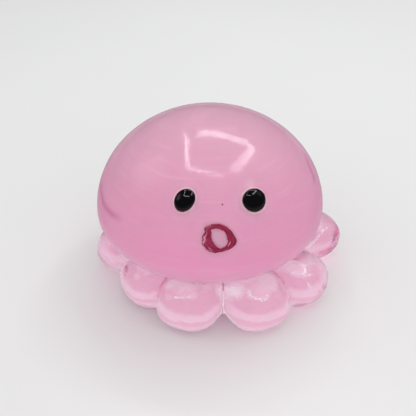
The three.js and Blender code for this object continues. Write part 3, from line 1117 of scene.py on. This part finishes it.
# Rays that went through clear rubber meet an even pale floor, and those mirrored once a dimmer one,
# as in a darker room, with a painted pink glow of the toy's light on it near the toy.
seen = tree.nodes.new("ShaderNodeLightPath")
mirrored = Wire(tree, seen.outputs["Is Glossy Ray"])
refracted = Wire(tree, seen.outputs["Is Transmission Ray"])
through = refracted.math("MAXIMUM", mirrored)
first_bounce = Wire(tree, seen.outputs["Ray Depth"]).math("LESS_THAN", 1.5)
straight = (mirrored - refracted) * first_bounce
beside_toy = near(tree, place, RING_AXIS, 55 * MM, 110 * MM)
mirror_floor = blend_colours(tree, beside_toy, FLOOR_MIRRORED_FAR, FLOOR_MIRRORED_PINK_GLOW)
floor_glow = blend_colours(tree, straight, FLOOR_THROUGH, mirror_floor)
backdrop = add(tree, "ShaderNodeEmission", Color=floor_glow)
shown = tree.nodes.new("ShaderNodeMixShader")
plug(tree, shown.inputs[0], through)
tree.links.new(shader.outputs[0], shown.inputs[1])
tree.links.new(backdrop.outputs[0], shown.inputs[2])
tree.links.new(shown.outputs[0], tree.nodes["Material Output"].inputs["Surface"])
floor_paint.cycles.emission_sampling = "NONE"
half = FLOOR_SIZE / 2
floor_corners = [(-half, -half), (half, -half), (half, half), (-half, half)]
floor_points = [(*corner, FLOOR_RISE) for corner in floor_corners]
floor = new_piece("floor", floor_points, [(0, 1, 2, 3)], floor_paint)
floor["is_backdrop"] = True

FRONT_SIDE = Vector((0.0, -0.98, 0.2))
FRONT_GLOW = 1.5
ROOM_GLOW = 0.45
MIRROR_GLOW = 0.1
CLEAR_GLOW = 0.85
surround = bpy.data.worlds.new("soft surround")
surround.use_nodes = True
tree = surround.node_tree
sky = Wire(tree, tree.nodes.new("ShaderNodeTexCoord").outputs["Generated"])
facing = add(tree, "ShaderNodeVectorMath", {"operation": "DOT_PRODUCT"})
plug(tree, facing.inputs[0], sky)
plug(tree, facing.inputs[1], FRONT_SIDE)
glow = map_range(tree, Wire(tree, facing.outputs["Value"]), 0.1, 0.95, ROOM_GLOW, FRONT_GLOW)
ray = tree.nodes.new("ShaderNodeLightPath")
mirrored = Wire(tree, ray.outputs["Is Glossy Ray"])
glow = glow + mirrored * (-glow + MIRROR_GLOW)
glow = glow + Wire(tree, ray.outputs["Is Transmission Ray"]) * (-glow + CLEAR_GLOW)
plug(tree, tree.nodes["Background"].inputs["Strength"], glow)
tree.nodes["Background"].inputs["Color"].default_value = (1.0, 1.0, 1.0, 1.0)
scene.world = surround

# Each strip of the frame: its glow, its width and its corners, in shares of the lamps' height.
LAMP_HEIGHT = 0.5
LAMP_STRIPS = [
    (24.0, 0.016, [(-0.374, 0.86), (-0.304, 0.545), (-0.316, 0.14), (-0.344, -0.04)]),
    (9.5, 0.044, [(-0.344, -0.04), (-0.186, -0.14), (-0.027, -0.183), (0.13, -0.25), (0.2, -0.22)]),
    (4.5, 0.17, [(0.37, -0.14), (0.483, 0.145)]),
    (6.5, 0.13, [(0.483, 0.145), (0.55, 0.278), (0.637, 0.537)]),
    (6.0, 0.16, [(0.637, 0.537), (0.582, 0.645), (0.449, 0.633), (0.257, 0.619), (0.118, 0.695)]),
    (6.0, 0.19, [(0.118, 0.695), (0.0, 0.77), (-0.108, 0.695), (-0.166, 0.704)]),
]

# The glow and place of each side panel.
PANEL_SIZE = 0.34
SIDE_PANELS = [(0.3, (0.52, 0.15, 0.56)), (0.8, (-0.55, 0.1, 0.52))]


def add_lamp(name, centre, length, width, glow):
    """A flat lamp of an even glow that lies level and shines down."""
    lamp = bpy.data.lights.new(name, "AREA")
    lamp.shape = "RECTANGLE"
    lamp.size = length
    lamp.size_y = width
    lamp.energy = glow * math.pi * length * width
    holder = bpy.data.objects.new(name, lamp)
    holder.location = centre
    scene.collection.objects.link(holder)
    return holder


for strip_glow, width, corners in LAMP_STRIPS:
    for start, end in zip(corners, corners[1:]):
        first = HEAD_TOP + Vector((*start, 1.0)) * LAMP_HEIGHT
        last = HEAD_TOP + Vector((*end, 1.0)) * LAMP_HEIGHT
        run = last - first
        middle = (first + last) / 2
        strip = add_lamp("overhead lamp", middle, run.length, width * LAMP_HEIGHT, strip_glow)
        strip.rotation_euler = (0.0, 0.0, math.atan2(run.y, run.x))
for panel_glow, spot in SIDE_PANELS:
    panel = add_lamp("side panel", Vector(spot), PANEL_SIZE, PANEL_SIZE, panel_glow)
    panel.rotation_euler = (HEAD_AXIS - Vector(spot)).to_track_quat("-Z", "Y").to_euler()

CAMERA_TARGET = FOOTPRINT + Vector((-5.2, 0.36, 30.0)) * MM
CAMERA_DISTANCE = 260 * MM
CAMERA_ELEVATION = 33.0
CAMERA_LENS = 62.3
elevation = math.radians(CAMERA_ELEVATION)
back = Vector((0.0, -math.cos(elevation), math.sin(elevation)))
lens = bpy.data.cameras.new("camera")
lens.sensor_width = 36.0
lens.lens = CAMERA_LENS
camera = bpy.data.objects.new("camera", lens)
camera.location = CAMERA_TARGET + back * CAMERA_DISTANCE
camera.rotation_euler = (-back).to_track_quat("-Z", "Y").to_euler()
scene.collection.objects.link(camera)
scene.camera = camera
scene.view_settings.view_transform = "Standard"

low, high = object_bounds()
